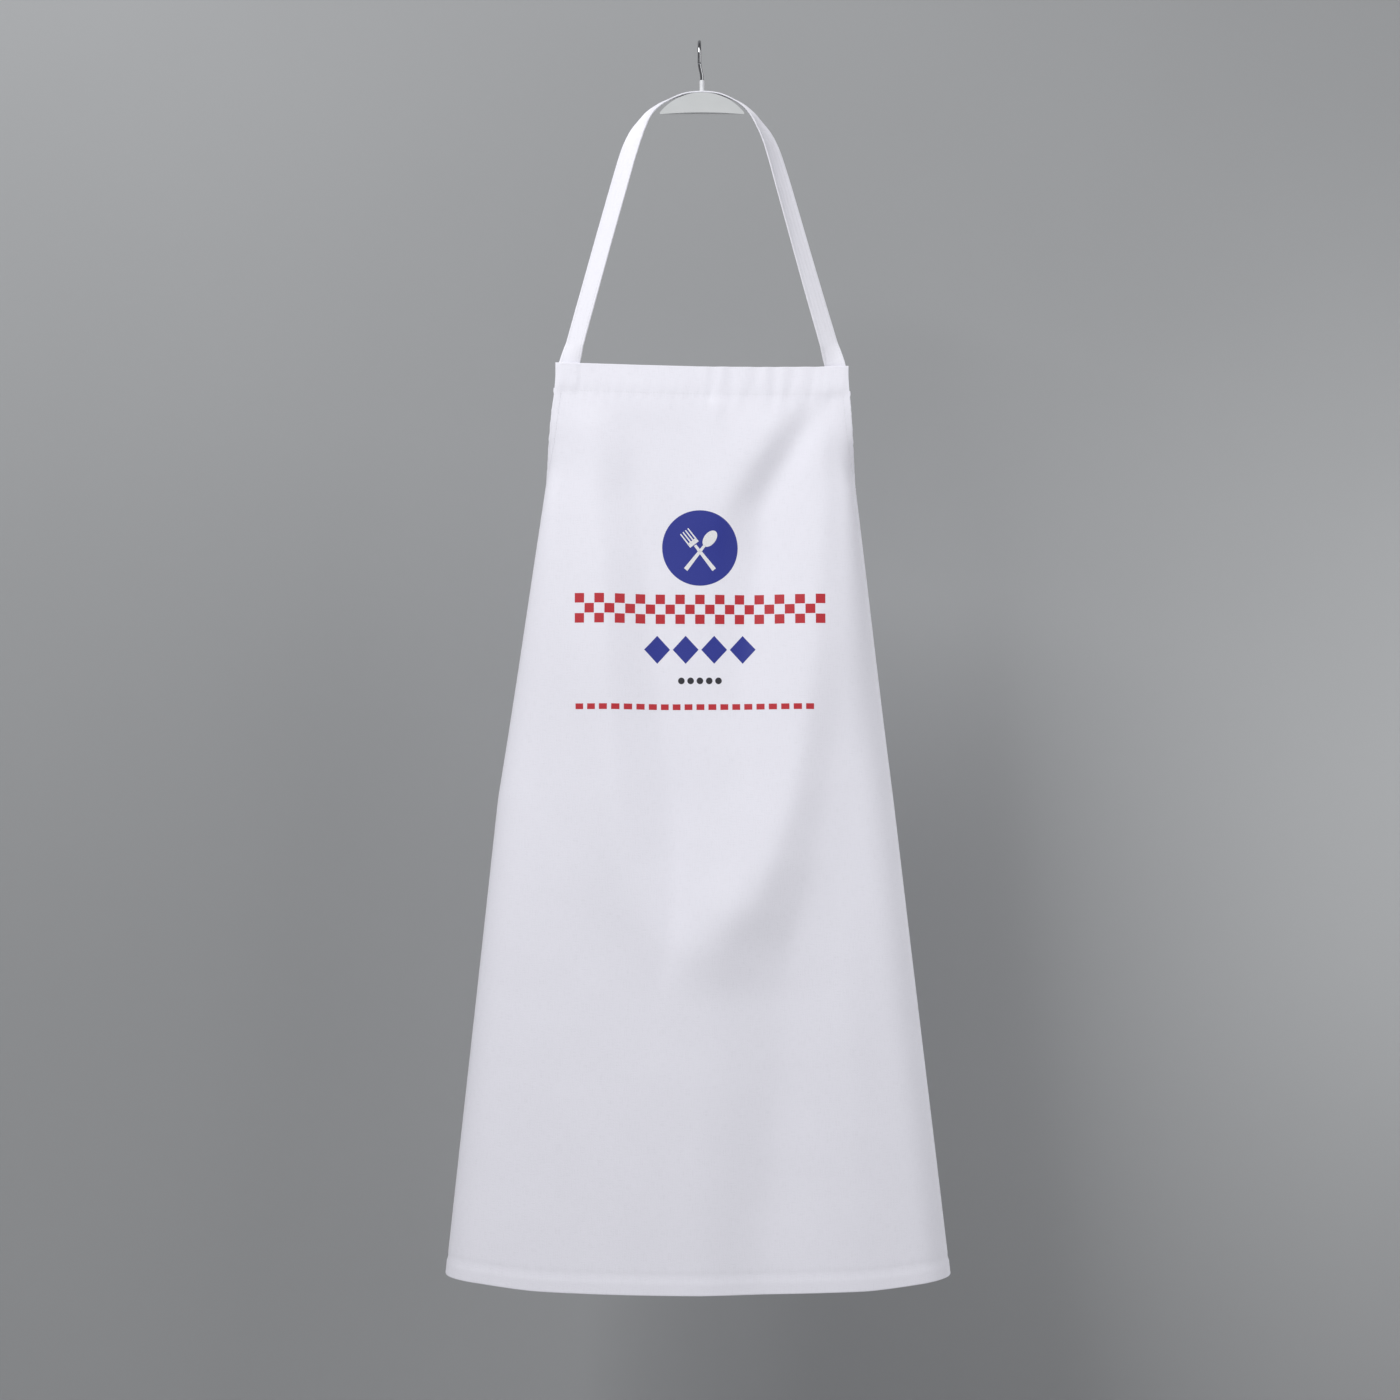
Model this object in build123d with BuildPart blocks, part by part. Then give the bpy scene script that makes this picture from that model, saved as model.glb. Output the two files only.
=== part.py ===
from build123d import *
import os
from math import asin, atan, cos, pi, radians, sin, sqrt

# Bib apron hanging by its neck strap from a small moulded hanger with a swivel hook.
# Millimetres, +Z up, the apron's front faces -Y. The origin is the hook's seat, where
# the inside of its bow rests on a rail.

# ---- driving dimensions -----------------------------------------------------------
WIRE_R = 1.7  # hook wire
BOW_R = 14.0  # wire centre line of the hook's bow
TIP_Z = -21.0  # lower end of the free tine
LEAN_Z = -32.0  # the shank is straight below this and leans above it
HANGER_X = 2.5  # middle of the hanger and axis of the swivel
SHANK_Y = BOW_R
RUNNING_GAP = 0.1  # radial clearance of the swivel

HANGER_TOP_Z = -48.9
HANGER_TIP_Z = -70.2
HANGER_ARCH_Z = -68.2
HANGER_HALF = 42.0
HANGER_FRONT_Y = -11.0
HANGER_BACK_Y = 21.0
UNDER_SLOPE = 0.25  # the underside rises towards the back
POCKET_TOP_Z = -56.0
POCKET_R = 4.8
WASHER_R = 4.5
WASHER_T = 1.0
WASHER_PLAY = 0.05  # above and below the washer
HEAD_R = 3.2
HEAD_T = 2.4
SLEEVE_R = 2.3
SLEEVE_TOP_Z = LEAN_Z
PRESS_GAP = 0.02  # between pieces fixed to each other
WALL_GAP = 0.3  # between pieces that move past each other

STRAP_W = 20.0
STRAP_T = 1.6
STRAP_TOP_Z = -47.8  # middle of the strap's thickness, over the hanger
STRAP_END_X = 128.7  # middle of the strap's width at the hem, from the hanger's middle
STRAP_STRAIGHT = (84.0, -150.2)  # from here down the strap runs straight to the bib
STRAP_STATIONS = 30
STRAP_END_L = 24.0  # sewn behind the top hem

BIB_Z = -310.5  # top edge of the bib
BIB_HALF = 141.0
HALF_WIDTH = 310.0  # of the flat cloth below the armholes
LENGTH = 885.0  # of the cloth, down from the bib's top edge
WAIST_V = 300.0  # where the armhole ends and the waist tie is sewn on
CLOTH_T = 1.0
PLY_GAP = 0.2  # between sewn layers
HEM_T = 0.8
TOP_HEM = 28.0
BOTTOM_HEM = 19.0
SIDE_HEM = 10.0
ARMHOLE_HEM = 8.0
LEAN = 0.0795  # forward lean of the hanging cloth, mm per mm
FRONT_R = 600.0  # bow of the front, seen from above
CURL_R = 50.0  # radius of the fold at each side
BACK_R = 60.0  # radius of the cloth that turns in behind
FLAT_V = 105.0  # below the top hem the bib turns from flat to curled over this depth

TIE_W = 20.0
TIE_T = 1.6
TIE_L = 590.0  # free length that hangs behind the apron
TIE_END_L = 24.0  # sewn across the side hem

PRINT_T = 0.15
PRINT_MID = -2.0  # middle of the print, across the cloth
EMBLEM_V = 176.0  # middle of the round emblem
EMBLEM_R = 36.5
PRINT_BANDS = [(221, 250, 119), (261, 288, 54.5), (299, 310, 22), (325, 335, 121)]
LEVELS = [0, 28, 60, 95, 130, 165, 200, 240, 270, 300, 320, 360, 440, 560, 720, 866, LENGTH]

os.makedirs("parts", exist_ok=True)


# ---- shape of the hanging cloth ----------------------------------------------------
def between(v, rows):
    """Straight-line value at v from a few (v, value) rows."""
    for (v0, a), (v1, b) in zip(rows, rows[1:]):
        if v <= v1:
            return a + (b - a) * (v - v0) / (v1 - v0)
    return rows[-1][1]


def silhouette(v, side):
    """Half-width of the hanging cloth at depth v, left (-1) or right (+1)."""
    if side < 0:
        return between(v, [(0, 141), (120, 151.5), (420, 199), (LENGTH, 248)])
    return between(v, [(0, 141), (120, 149), (420, 186.5), (LENGTH, 240)])


def cloth_edge(v):
    """Half-width of the flat cloth at depth v: a parabola down each armhole, then straight."""
    return BIB_HALF + (HALF_WIDTH - BIB_HALF) * min(v / WAIST_V, 1.0) ** 2


def curl(v):
    """Share of the full curl at depth v, 0 along the straight top hem."""
    share = min(max(v - TOP_HEM, 0.0) / FLAT_V, 1.0)
    return share * share * (3 - 2 * share)


def heading(s, v, side):
    """Direction of the level section at arc length s from the middle, 0 along X."""
    turn_1 = asin((silhouette(v, side) - CURL_R) / (FRONT_R - CURL_R))
    s_1 = turn_1 * FRONT_R
    s_2 = s_1 + (pi / 2 - turn_1) * CURL_R
    angle = min(s, s_1) / FRONT_R
    angle += max(0.0, min(s, s_2) - s_1) / CURL_R
    angle += max(0.0, s - s_2) / BACK_R
    return angle * curl(v)


def cloth_point(s, v, offset):
    """Point of the hanging cloth at arc length s and depth v, offset to its front."""
    side = -1 if s < 0 else 1
    steps = max(2, int(abs(s) / 4))
    ds = abs(s) / steps
    x = y = 0.0
    for i in range(steps):
        angle = heading((i + 0.5) * ds, v, side)
        x += cos(angle) * ds
        y += sin(angle) * ds
    angle = heading(abs(s), v, side)
    x += sin(angle) * offset
    y -= cos(angle) * offset
    down = v / sqrt(1 + LEAN * LEAN)
    return Vector(HANGER_X + side * x, y - LEAN * down, BIB_Z - down)


def spread(low, high, count):
    return [low + (high - low) * i / (count - 1) for i in range(count)]


def cloth_piece(levels, first, last, inner, outer, count):
    """Closed sheet between arc lengths first(v) and last(v), through the given depths."""
    with BuildPart() as sheet:
        for v in levels:
            arcs = spread(first(v), last(v), count)
            front = [cloth_point(s, v, outer) for s in arcs]
            back = [cloth_point(s, v, inner) for s in reversed(arcs)]
            with BuildSketch(Plane.XY.offset(front[0].Z)) as level:
                with BuildLine():
                    Spline(*[(p.X, p.Y) for p in front])
                    Line((front[-1].X, front[-1].Y), (back[0].X, back[0].Y))
                    Spline(*[(p.X, p.Y) for p in back])
                    Line((back[-1].X, back[-1].Y), (front[0].X, front[0].Y))
                make_face()
        loft(ruled=True)
    return sheet.part


def save(part, name):
    part.label = name
    export_step(part, f"parts/{name}.step")


# ---- hook --------------------------------------------------------------------------
bow_z = WIRE_R - BOW_R
head_top_z = POCKET_TOP_Z - WASHER_T - 2 * WASHER_PLAY
with BuildPart() as hook:
    with BuildLine() as wire:
        shank = Line((HANGER_X, SHANK_Y, head_top_z - HEAD_T / 2), (HANGER_X, SHANK_Y, LEAN_Z))
        lean_1 = TangentArc(
            shank @ 1, (HANGER_X / 2, SHANK_Y, (LEAN_Z + bow_z) / 2), tangent=(0, 0, 1)
        )
        lean_2 = TangentArc(lean_1 @ 1, (0, SHANK_Y, bow_z), tangent=lean_1 % 1)
        bow = ThreePointArc((0, SHANK_Y, bow_z), (0, 0, WIRE_R), (0, -BOW_R, bow_z))
        tine = Line(bow @ 1, (0, -BOW_R, TIP_Z))
    with BuildSketch(Plane(origin=shank @ 0, z_dir=(0, 0, 1))):
        Circle(WIRE_R)
    sweep(path=wire.line)
    with Locations((0, -BOW_R, TIP_Z)):
        Sphere(WIRE_R)
    with BuildSketch(Plane.XY.offset(head_top_z - HEAD_T)):
        with Locations((HANGER_X, SHANK_Y)):
            Circle(HEAD_R)
    extrude(amount=HEAD_T)
save(hook.part, "hook")

with BuildPart() as hook_sleeve:
    with BuildSketch(Plane.XY.offset(HANGER_TOP_Z + WALL_GAP)):
        with Locations((HANGER_X, SHANK_Y)):
            Circle(SLEEVE_R)
            Circle(WIRE_R + PRESS_GAP, mode=Mode.SUBTRACT)
    extrude(amount=SLEEVE_TOP_Z - HANGER_TOP_Z - WALL_GAP)
    chamfer(hook_sleeve.edges().group_by(Axis.Z)[-1].sort_by(SortBy.RADIUS)[-1], 0.4)
save(hook_sleeve.part, "hook_sleeve")

# ---- hanger ------------------------------------------------------------------------
left_tip = (HANGER_X - HANGER_HALF, HANGER_TIP_Z)
right_tip = (HANGER_X + HANGER_HALF, HANGER_TIP_Z)
with BuildPart() as hanger_body:
    with BuildSketch(Plane.XZ.offset(-HANGER_BACK_Y)) as crescent:
        with BuildLine():
            ThreePointArc(left_tip, (HANGER_X, HANGER_TOP_Z), right_tip)
            ThreePointArc(right_tip, (HANGER_X, HANGER_ARCH_Z), left_tip)
        make_face()
        fillet(crescent.vertices(), 1.2)
    extrude(amount=HANGER_BACK_Y - HANGER_FRONT_Y)
    with BuildSketch(Plane.YZ.offset(HANGER_X - HANGER_HALF - 5)):
        with BuildLine():
            Polyline(
                (HANGER_FRONT_Y, HANGER_TIP_Z),
                (HANGER_BACK_Y + 5, HANGER_TIP_Z + UNDER_SLOPE * (HANGER_BACK_Y + 5 - HANGER_FRONT_Y)),
                (HANGER_BACK_Y + 5, HANGER_TIP_Z - 5),
                (HANGER_FRONT_Y, HANGER_TIP_Z - 5),
                close=True,
            )
        make_face()
    extrude(amount=2 * HANGER_HALF + 10, mode=Mode.SUBTRACT)
    with BuildSketch(Plane.XY.offset(POCKET_TOP_Z)):
        with Locations((HANGER_X, SHANK_Y)):
            Circle(POCKET_R)
    extrude(amount=-20, mode=Mode.SUBTRACT)
    with BuildSketch(Plane.XY.offset(POCKET_TOP_Z)):
        with Locations((HANGER_X, SHANK_Y)):
            Circle(WIRE_R + RUNNING_GAP)
    extrude(amount=20, mode=Mode.SUBTRACT)
save(hanger_body.part, "hanger_body")

with BuildPart() as retaining_washer:
    with BuildSketch(Plane.XY.offset(POCKET_TOP_Z - WASHER_PLAY)):
        with Locations((HANGER_X, SHANK_Y)):
            Circle(WASHER_R)
            Circle(WIRE_R + RUNNING_GAP, mode=Mode.SUBTRACT)
    extrude(amount=-WASHER_T)
save(retaining_washer.part, "retaining_washer")

# ---- neck strap --------------------------------------------------------------------
# One flat tape: it lies across the hanger, and turns a quarter on each side to face front.
hinge_z = BIB_Z  # the tape bends here, at the bib's top edge
strap_y = CLOTH_T / 2 + PLY_GAP * 2 + HEM_T + STRAP_T / 2
with BuildLine() as strap_half:
    Spline(
        (0, STRAP_TOP_Z),
        (16, -49.4),
        (28.5, -54.6),
        (41, -62.0),
        (59, -80.5),
        (71.5, -110.0),
        STRAP_STRAIGHT,
        (STRAP_END_X, hinge_z + WALL_GAP),
        tangents=((1, 0), (STRAP_END_X - STRAP_STRAIGHT[0], hinge_z - STRAP_STRAIGHT[1])),
    )
half_path = strap_half.line
slope = atan((STRAP_END_X - STRAP_STRAIGHT[0]) / (STRAP_STRAIGHT[1] - hinge_z))


def strap_turn(share):
    """Quarter turn of the tape along its half length: quick at the hanger, then slow."""
    quick = min(max((share - 0.05) / 0.33, 0.0), 1.0)
    return radians(60 * quick * quick * (3 - 2 * quick) + 30 * share * share)


def strap_plane(share, side):
    """Plane across the tape at a share of its half length, with X along its width."""
    at = half_path @ share
    along = half_path % share
    turn = strap_turn(share)
    out = Vector(side * -along.Y, 0, along.X)
    width = Vector(0, -1, 0) * cos(turn) - out * sin(turn)
    forward = Vector(side * along.X, 0, along.Y)
    origin = (HANGER_X + side * at.X, strap_y * share * share, at.Y)
    return Plane(origin=origin, x_dir=width, z_dir=forward)


with BuildPart() as neck_strap:
    for side in (-1, 1):
        for share in spread(0, 1, STRAP_STATIONS):
            with BuildSketch(strap_plane(share, side)):
                Rectangle(STRAP_W, STRAP_T)
        loft(ruled=True)
    with BuildSketch(Plane.XY.offset(hinge_z + WALL_GAP)):
        Rectangle(400, 60)
    extrude(amount=-20, mode=Mode.SUBTRACT)
save(neck_strap.part, "neck_strap")

# The tape's two ends, sewn behind the top hem, each held by a bar of close stitching.
for side, word in ((-1, "left"), (1, "right")):
    end_plane = Plane(
        origin=(HANGER_X + side * STRAP_END_X, strap_y - STRAP_T / 2, hinge_z),
        x_dir=(cos(slope), 0, side * sin(slope)),
        z_dir=(0, 1, 0),
    )
    with BuildPart() as strap_end:
        with BuildSketch(end_plane):
            with Locations((0, STRAP_END_L / 2)):
                Rectangle(STRAP_W, STRAP_END_L)
        extrude(amount=STRAP_T)
        with BuildSketch(Plane.XY.offset(hinge_z - WALL_GAP)):
            Rectangle(400, 60)
        extrude(amount=20, mode=Mode.SUBTRACT)
    save(strap_end.part, f"{word}_strap_end")
    with BuildPart() as bar:
        with BuildSketch(end_plane.offset(STRAP_T + PRESS_GAP)):
            with Locations((0, 6), (0, STRAP_END_L - 5)):
                Rectangle(STRAP_W - 3, 2)
        extrude(amount=0.4)
    save(bar.part, f"{word}_strap_bartacks")


# ---- apron cloth and its folded hems -----------------------------------------------
def full_left(v):
    return -cloth_edge(v)


face, rear = CLOTH_T / 2, -CLOTH_T / 2
hem_outer = rear - PLY_GAP
hem_inner = hem_outer - HEM_T


def levels_between(low, high):
    return [v for v in LEVELS if low <= v <= high]


save(cloth_piece(LEVELS, full_left, cloth_edge, rear, face, 61), "apron_panel")
save(cloth_piece(LEVELS[:2], full_left, cloth_edge, hem_inner, hem_outer, 15), "top_hem")
save(cloth_piece(LEVELS[-2:], full_left, cloth_edge, hem_inner, hem_outer, 61), "bottom_hem")

for side, word in ((-1, "left"), (1, "right")):

    def armhole_in(v):
        return side * (cloth_edge(v) - ARMHOLE_HEM)

    def side_in(v):
        return side * (cloth_edge(v) - SIDE_HEM)

    def outer_edge(v):
        return side * cloth_edge(v)

    armhole_levels = [TOP_HEM + 0.5, *levels_between(60, 270), WAIST_V - 2]
    side_levels = [*levels_between(WAIST_V, 720), LENGTH - BOTTOM_HEM - 0.5]
    save(
        cloth_piece(
            armhole_levels, armhole_in, outer_edge, hem_inner - PLY_GAP, hem_outer - PLY_GAP, 5
        ),
        f"{word}_armhole_hem",
    )
    save(
        cloth_piece(side_levels, side_in, outer_edge, hem_inner, hem_outer, 5),
        f"{word}_side_hem",
    )

# ---- waist ties --------------------------------------------------------------------
# Each is a tape sewn across the side hem at the waist; the free length hangs straight down.
tie_outer = hem_inner - PLY_GAP
tie_inner = tie_outer - TIE_T
for side, word in ((-1, "left"), (1, "right")):

    def tie_in(v):
        return side * (HALF_WIDTH - TIE_END_L)

    def tie_out(v):
        return side * HALF_WIDTH

    save(
        cloth_piece([WAIST_V, WAIST_V + TIE_W], tie_in, tie_out, tie_inner, tie_outer, 7),
        f"{word}_tie_end",
    )
    corner = cloth_point(side * HALF_WIDTH, WAIST_V, (tie_inner + tie_outer) / 2)
    with BuildPart() as tie:
        with BuildSketch(Plane.XY.offset(corner.Z)):
            with Locations((corner.X - side * (TIE_W / 2 + 2 * WALL_GAP), corner.Y)):
                Rectangle(TIE_W, TIE_T)
        extrude(amount=-TIE_L)
    save(tie.part, f"{word}_waist_tie")

# ---- chest print -------------------------------------------------------------------
# A thin film on the front: a round emblem over four bands.
film_low = face + PRESS_GAP
film_high = film_low + PRINT_T


def chord(v, side):
    return PRINT_MID + side * sqrt(max(EMBLEM_R**2 - (v - EMBLEM_V) ** 2, 1.0))


films = [
    cloth_piece(
        [EMBLEM_V - EMBLEM_R * cos(pi * i / 12) for i in range(13)],
        lambda v: chord(v, -1),
        lambda v: chord(v, 1),
        film_low,
        film_high,
        9,
    )
]
for top, bottom, half in PRINT_BANDS:
    films.append(
        cloth_piece(
            [top, bottom],
            lambda v: PRINT_MID - half,
            lambda v: PRINT_MID + half,
            film_low,
            film_high,
            13,
        )
    )
save(Compound(children=films), "chest_print")
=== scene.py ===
from math import asin, cos, pi, radians, sin, sqrt

import bmesh
import bpy
import numpy as np
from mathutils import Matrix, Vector


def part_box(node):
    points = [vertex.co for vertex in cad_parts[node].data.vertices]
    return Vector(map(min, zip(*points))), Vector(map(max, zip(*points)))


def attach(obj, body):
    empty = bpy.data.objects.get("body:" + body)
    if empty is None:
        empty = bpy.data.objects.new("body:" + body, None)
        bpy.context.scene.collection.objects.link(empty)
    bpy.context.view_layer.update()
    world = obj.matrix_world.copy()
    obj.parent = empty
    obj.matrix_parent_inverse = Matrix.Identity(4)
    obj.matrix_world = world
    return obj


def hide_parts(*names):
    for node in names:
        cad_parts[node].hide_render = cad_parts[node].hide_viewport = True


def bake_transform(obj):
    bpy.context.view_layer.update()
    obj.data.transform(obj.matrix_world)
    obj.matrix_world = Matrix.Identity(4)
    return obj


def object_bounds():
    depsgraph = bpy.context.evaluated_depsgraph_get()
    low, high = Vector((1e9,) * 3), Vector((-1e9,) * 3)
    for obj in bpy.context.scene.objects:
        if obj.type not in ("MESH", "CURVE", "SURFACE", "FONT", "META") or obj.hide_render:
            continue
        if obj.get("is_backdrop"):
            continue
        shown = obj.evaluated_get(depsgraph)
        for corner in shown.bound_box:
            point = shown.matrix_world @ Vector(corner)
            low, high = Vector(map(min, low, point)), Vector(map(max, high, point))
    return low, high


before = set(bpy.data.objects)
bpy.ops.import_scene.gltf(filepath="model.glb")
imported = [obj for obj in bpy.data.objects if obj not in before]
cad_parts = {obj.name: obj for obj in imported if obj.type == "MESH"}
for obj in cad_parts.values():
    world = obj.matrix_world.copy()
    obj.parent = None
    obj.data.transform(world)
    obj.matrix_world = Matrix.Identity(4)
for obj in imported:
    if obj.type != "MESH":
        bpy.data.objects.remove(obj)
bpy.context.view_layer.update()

MM = 0.001

# ---- driving sizes, millimetres -----------------------------------------------------
# The outline and the widths of the hems and tapes are as in the CAD part. The radii near
# the bib, the folds and the thicknesses of cloth and tape are this scene's own.
bib_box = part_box("top_hem")
tie_boxes = {side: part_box(f"{side}_waist_tie") for side in ("left", "right")}
HANGER_X = 2.5
BIB_Z = bib_box[1].z / MM
BIB_HALF = 141.0
HALF_WIDTH = 310.0
LENGTH = 885.0
WAIST_V = 300.0
TOP_HEM = 28.0
BOTTOM_HEM = 19.0
SIDE_HEM = 10.0
ARMHOLE_HEM = 8.0
LEAN = 0.0795  # forward lean of the cloth from bib to hem
CURL_EASE_V = (50, 330)  # depth where the radii start to change, and over what drop
FRONT_RADII = (1400.0, 600.0)  # near the bib, and low down
CURL_RADII = (13.0, 50.0)
BACK_R = 60.0
FLAT_V = 105.0  # the level section reaches its full curl this far below the top hem
STRAP_W = 20.0
TAPE_T = 1.3
STRAP_Y = 2.5
STRAP_END_L = 24.0
STRAP_END_OUT = 129.3
TIE_L = 590.0
CLOTH_HALF_T = 0.3
HEM_T = 0.6
HEM_BACK = -CLOTH_HALF_T - 0.05  # the folded ply lies just behind the cloth
STITCH_PITCH = 3.2

# Soft folds of the hanging cloth. Each line runs down the cloth, and at every depth of
# FOLD_V it has a place across the flat cloth and a height to the front. Two ridges run down
# from the strap's ends and meet below the print; the cloth between them hangs slack.
# FOLD_GAIN scales the heights once they are smoothed.
FOLD_GAIN = 1.45
FOLD_V = [32, 80, 128, 185, 262, 338, 414, 481, 529, 562, 605, 701, 796, 885]
FOLD_LINES = [
    ([-160] * 14, [0] * 14),
    ([-107, -104, -102, -96, -92, -88, -82, -74, -62, -50, -60, -60, -60, -60],
     [0.8, 2.6, 4, 5, 5.4, 5.2, 5, 4.4, 3.4, 2, 1, 0.8, 0.6, 0]),
    ([-75, -70, -66, -56, -48, -40, -32, -28, -26, -30, -40, -35, -35, -35],
     [-0.5, -2, -3.4, -5, -6.2, -7.2, -7.4, -6, -3.6, -0.8, 0.4, 0.5, 0.4, 0]),
    ([-30, -20, -20, -20, -16, -6, -8, -14, -18, -16, -12, 0, 0, 0],
     [-0.3, -1.2, -2.2, -4, -5.4, -5.4, -4.2, -2.3, 0, 3, 1.4, 1.2, 0.8, 0.3]),
    ([84, 62, 26, 14, 10, 10, 14, 16, 6, 0, 8, 25, 20, 15],
     [1.2, 2.6, 1, -3.4, -5.2, -5.2, -3, 1, 4.8, 4.8, 1, -1, -1.4, -1.4]),
    ([108, 92, 58, 56, 42, 36, 44, 40, 26, 16, 26, 50, 45, 38],
     [-1.8, -5.4, -7.6, -8, -7, -4.6, -0.4, 4, 7.4, 4.6, -1.6, -4.6, -5, -4.4]),
    ([120, 118, 116, 112, 108, 98, 86, 64, 44, 36, 50, 72, 66, 60],
     [1, 3.4, 4.4, 4.8, 5, 5.8, 7.2, 8, 6, 1.8, -4.4, -7.4, -7.4, -6]),
    ([130, 136, 138, 142, 142, 130, 120, 106, 94, 84, 84, 94, 92, 90],
     [0, 0.6, 1, 1.2, 1.6, 1.2, 1.2, 1.6, -1.6, -4, -6.2, -6.6, -6.2, -4.6]),
    ([150, 152, 154, 160, 165, 160, 150, 140, 140, 140, 140, 145, 150, 155],
     [0, 0, 0, 0, 0.5, 0, 0, 0.4, 1.2, 1.6, 1.6, 0.8, 0, -0.5]),
    ([210] * 14, [0] * 14),
]


# Height of the bib's upper edge above or below level, at places across it.
SAG_S = (-141, -110, -60, 0, 60, 110, 141)
SAG_Z = (2.6, 1.8, 0.2, -1.4, -1.9, -1.6, -0.8)

S_REACH = 322
S_AXIS = np.linspace(-S_REACH, S_REACH, 2 * S_REACH + 1)
V_AXIS = np.linspace(-3, LENGTH + 3, 447)


# ---- the hanging cloth as a table of points -----------------------------------------
def smooth(share):
    """Soft step from 0 to 1."""
    share = np.clip(share, 0.0, 1.0)
    return share * share * (3 - 2 * share)


def silhouette(v, side):
    """Half-width of the hanging cloth at depth v, on one side."""
    widths = (141, 151.5, 199, 248) if side < 0 else (141, 149, 186.5, 240)
    return float(np.interp(v, (0, 120, 420, LENGTH), widths))


def cloth_edge(v):
    """Half-width of the flat cloth at depth v; the top hem's ends stand a little proud."""
    v = np.asarray(v, float)
    parabola = BIB_HALF + (HALF_WIDTH - BIB_HALF) * np.clip(v / WAIST_V, 0, 1) ** 2
    notch = 0.7 * smooth((v - TOP_HEM) / 2) * np.exp(-np.clip(v - TOP_HEM, 0, None) / 25)
    return parabola + 0.3 * (1 - smooth((v - TOP_HEM) / 2)) - notch


def headings(arcs, v, side):
    """Direction of the level section at each arc length from the middle."""
    ease = float(smooth((v - CURL_EASE_V[0]) / CURL_EASE_V[1]))
    front_r = FRONT_RADII[0] + (FRONT_RADII[1] - FRONT_RADII[0]) * ease
    curl_r = CURL_RADII[0] + (CURL_RADII[1] - CURL_RADII[0]) * ease
    turn_1 = asin((silhouette(v, side) - curl_r) / (front_r - curl_r))
    s_1 = turn_1 * front_r
    s_2 = s_1 + (pi / 2 - turn_1) * curl_r
    angle = np.minimum(arcs, s_1) / front_r
    angle = angle + np.clip(np.minimum(arcs, s_2) - s_1, 0, None) / curl_r
    angle = angle + np.clip(arcs - s_2, 0, None) / BACK_R
    return angle * float(smooth((v - TOP_HEM) / FLAT_V))


def blurred(table, reach, axis):
    """The table smoothed along one axis over about reach samples each way."""
    at = np.arange(-3 * reach, 3 * reach + 1)
    kernel = np.exp(-0.5 * (at / reach) ** 2)
    kernel /= kernel.sum()
    wide = np.pad(table, [(3 * reach,) * 2 if k == axis else (0, 0) for k in (0, 1)], "edge")
    return np.apply_along_axis(lambda line: np.convolve(line, kernel, "valid"), axis, wide)


def soft_folds():
    """Height to the front of the large folds, on the grid of S_AXIS by V_AXIS."""
    rows = []
    for v in V_AXIS:
        places = [np.interp(v, FOLD_V, places) for places, _ in FOLD_LINES]
        heights = [np.interp(v, FOLD_V, heights) for _, heights in FOLD_LINES]
        rows.append(np.interp(S_AXIS, places, heights))
    soft = FOLD_GAIN * blurred(blurred(np.array(rows), 6, 1), 5, 0)
    return soft * smooth((V_AXIS[:, None] - 20) / 45)


def small_relief(s, v):
    """Height to the front of the hems' ripples, edges and stitched grooves."""
    lean = s + 0.12 * v
    ripple = 0.45 * np.sin((lean + 2.4) * 2 * pi / 19.5 + 0.5 * np.sin(s / 13)) + 0.12 * np.sin(s / 2.3)
    total = ripple * smooth((s + 24) / 50) * smooth((124 - s) / 16) * smooth((52 - v) / 40)
    dent = np.exp(-(((s - 122) / 9) ** 2))
    total = total - 1.2 * dent * smooth((v - 26) / 8) * smooth((80 - v) / 40)
    crease = np.exp(-(((s - 10 - 0.1 * v) / 9) ** 2))
    total = total + 1.5 * crease * smooth((v - 24) / 14) * smooth((75 - v) / 40)
    pucker = 0.22 * np.sin(s / 1.9 + 1.3 * np.sin(s / 17.0))
    for middle in (TOP_HEM - 2, LENGTH - BOTTOM_HEM + 2):
        total = total + pucker * np.exp(-(((v - middle) / 6) ** 2))
        total = total - 0.7 * np.exp(-(((v - middle) / 1.4) ** 2))
    for side in (-1, 1):  # the strap's end stands behind the hem
        inside = smooth((STRAP_W / 2 + 1 - abs(s - side * STRAP_END_OUT)) / 2)
        total = total + 0.7 * inside * smooth((STRAP_END_L + 2 - v) / 3)
    total = total + 0.5 * smooth((TOP_HEM - v) / 2)  # the hems are three cloths thick
    return total + 0.5 * smooth((v - LENGTH + BOTTOM_HEM - 2) / 5)


def hanging_table():
    """Points of the cloth's middle on the grid of S_AXIS by V_AXIS, before its soft folds."""
    table = np.zeros((len(V_AXIS), len(S_AXIS), 3))
    arcs = np.linspace(0, S_REACH, S_REACH + 1)
    for row, v in enumerate(V_AXIS):
        down = v / sqrt(1 + LEAN * LEAN)
        for side in (-1, 1):
            angle = headings(arcs, v, side)
            middle = (angle[1:] + angle[:-1]) / 2
            x = np.concatenate([[0], np.cumsum(np.cos(middle))])
            y = np.concatenate([[0], np.cumsum(np.sin(middle))])
            widest = np.max(x[arcs <= cloth_edge(v) + 1])
            if v > TOP_HEM:
                x = x * min(1.0, silhouette(v, side) / widest)
            columns = slice(S_REACH, None) if side > 0 else slice(S_REACH, None, -1)
            table[row, columns, 0] = HANGER_X + side * x
            table[row, columns, 1] = y - LEAN * down
        sag = np.interp(S_AXIS, SAG_S, SAG_Z) * float(smooth((320 - v) / 320))
        sag = sag + 5.0 * smooth((abs(S_AXIS) - 150) / 100) * float(smooth((v - 500) / 385))
        table[row, :, 2] = BIB_Z - down + sag
    return table


def normals_of(table):
    """Unit normals to the front of a table of points."""
    along_s = np.gradient(table, axis=1)
    along_v = np.gradient(table, axis=0)
    normal = np.cross(along_v, along_s)
    return normal / np.linalg.norm(normal, axis=2, keepdims=True)


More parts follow.
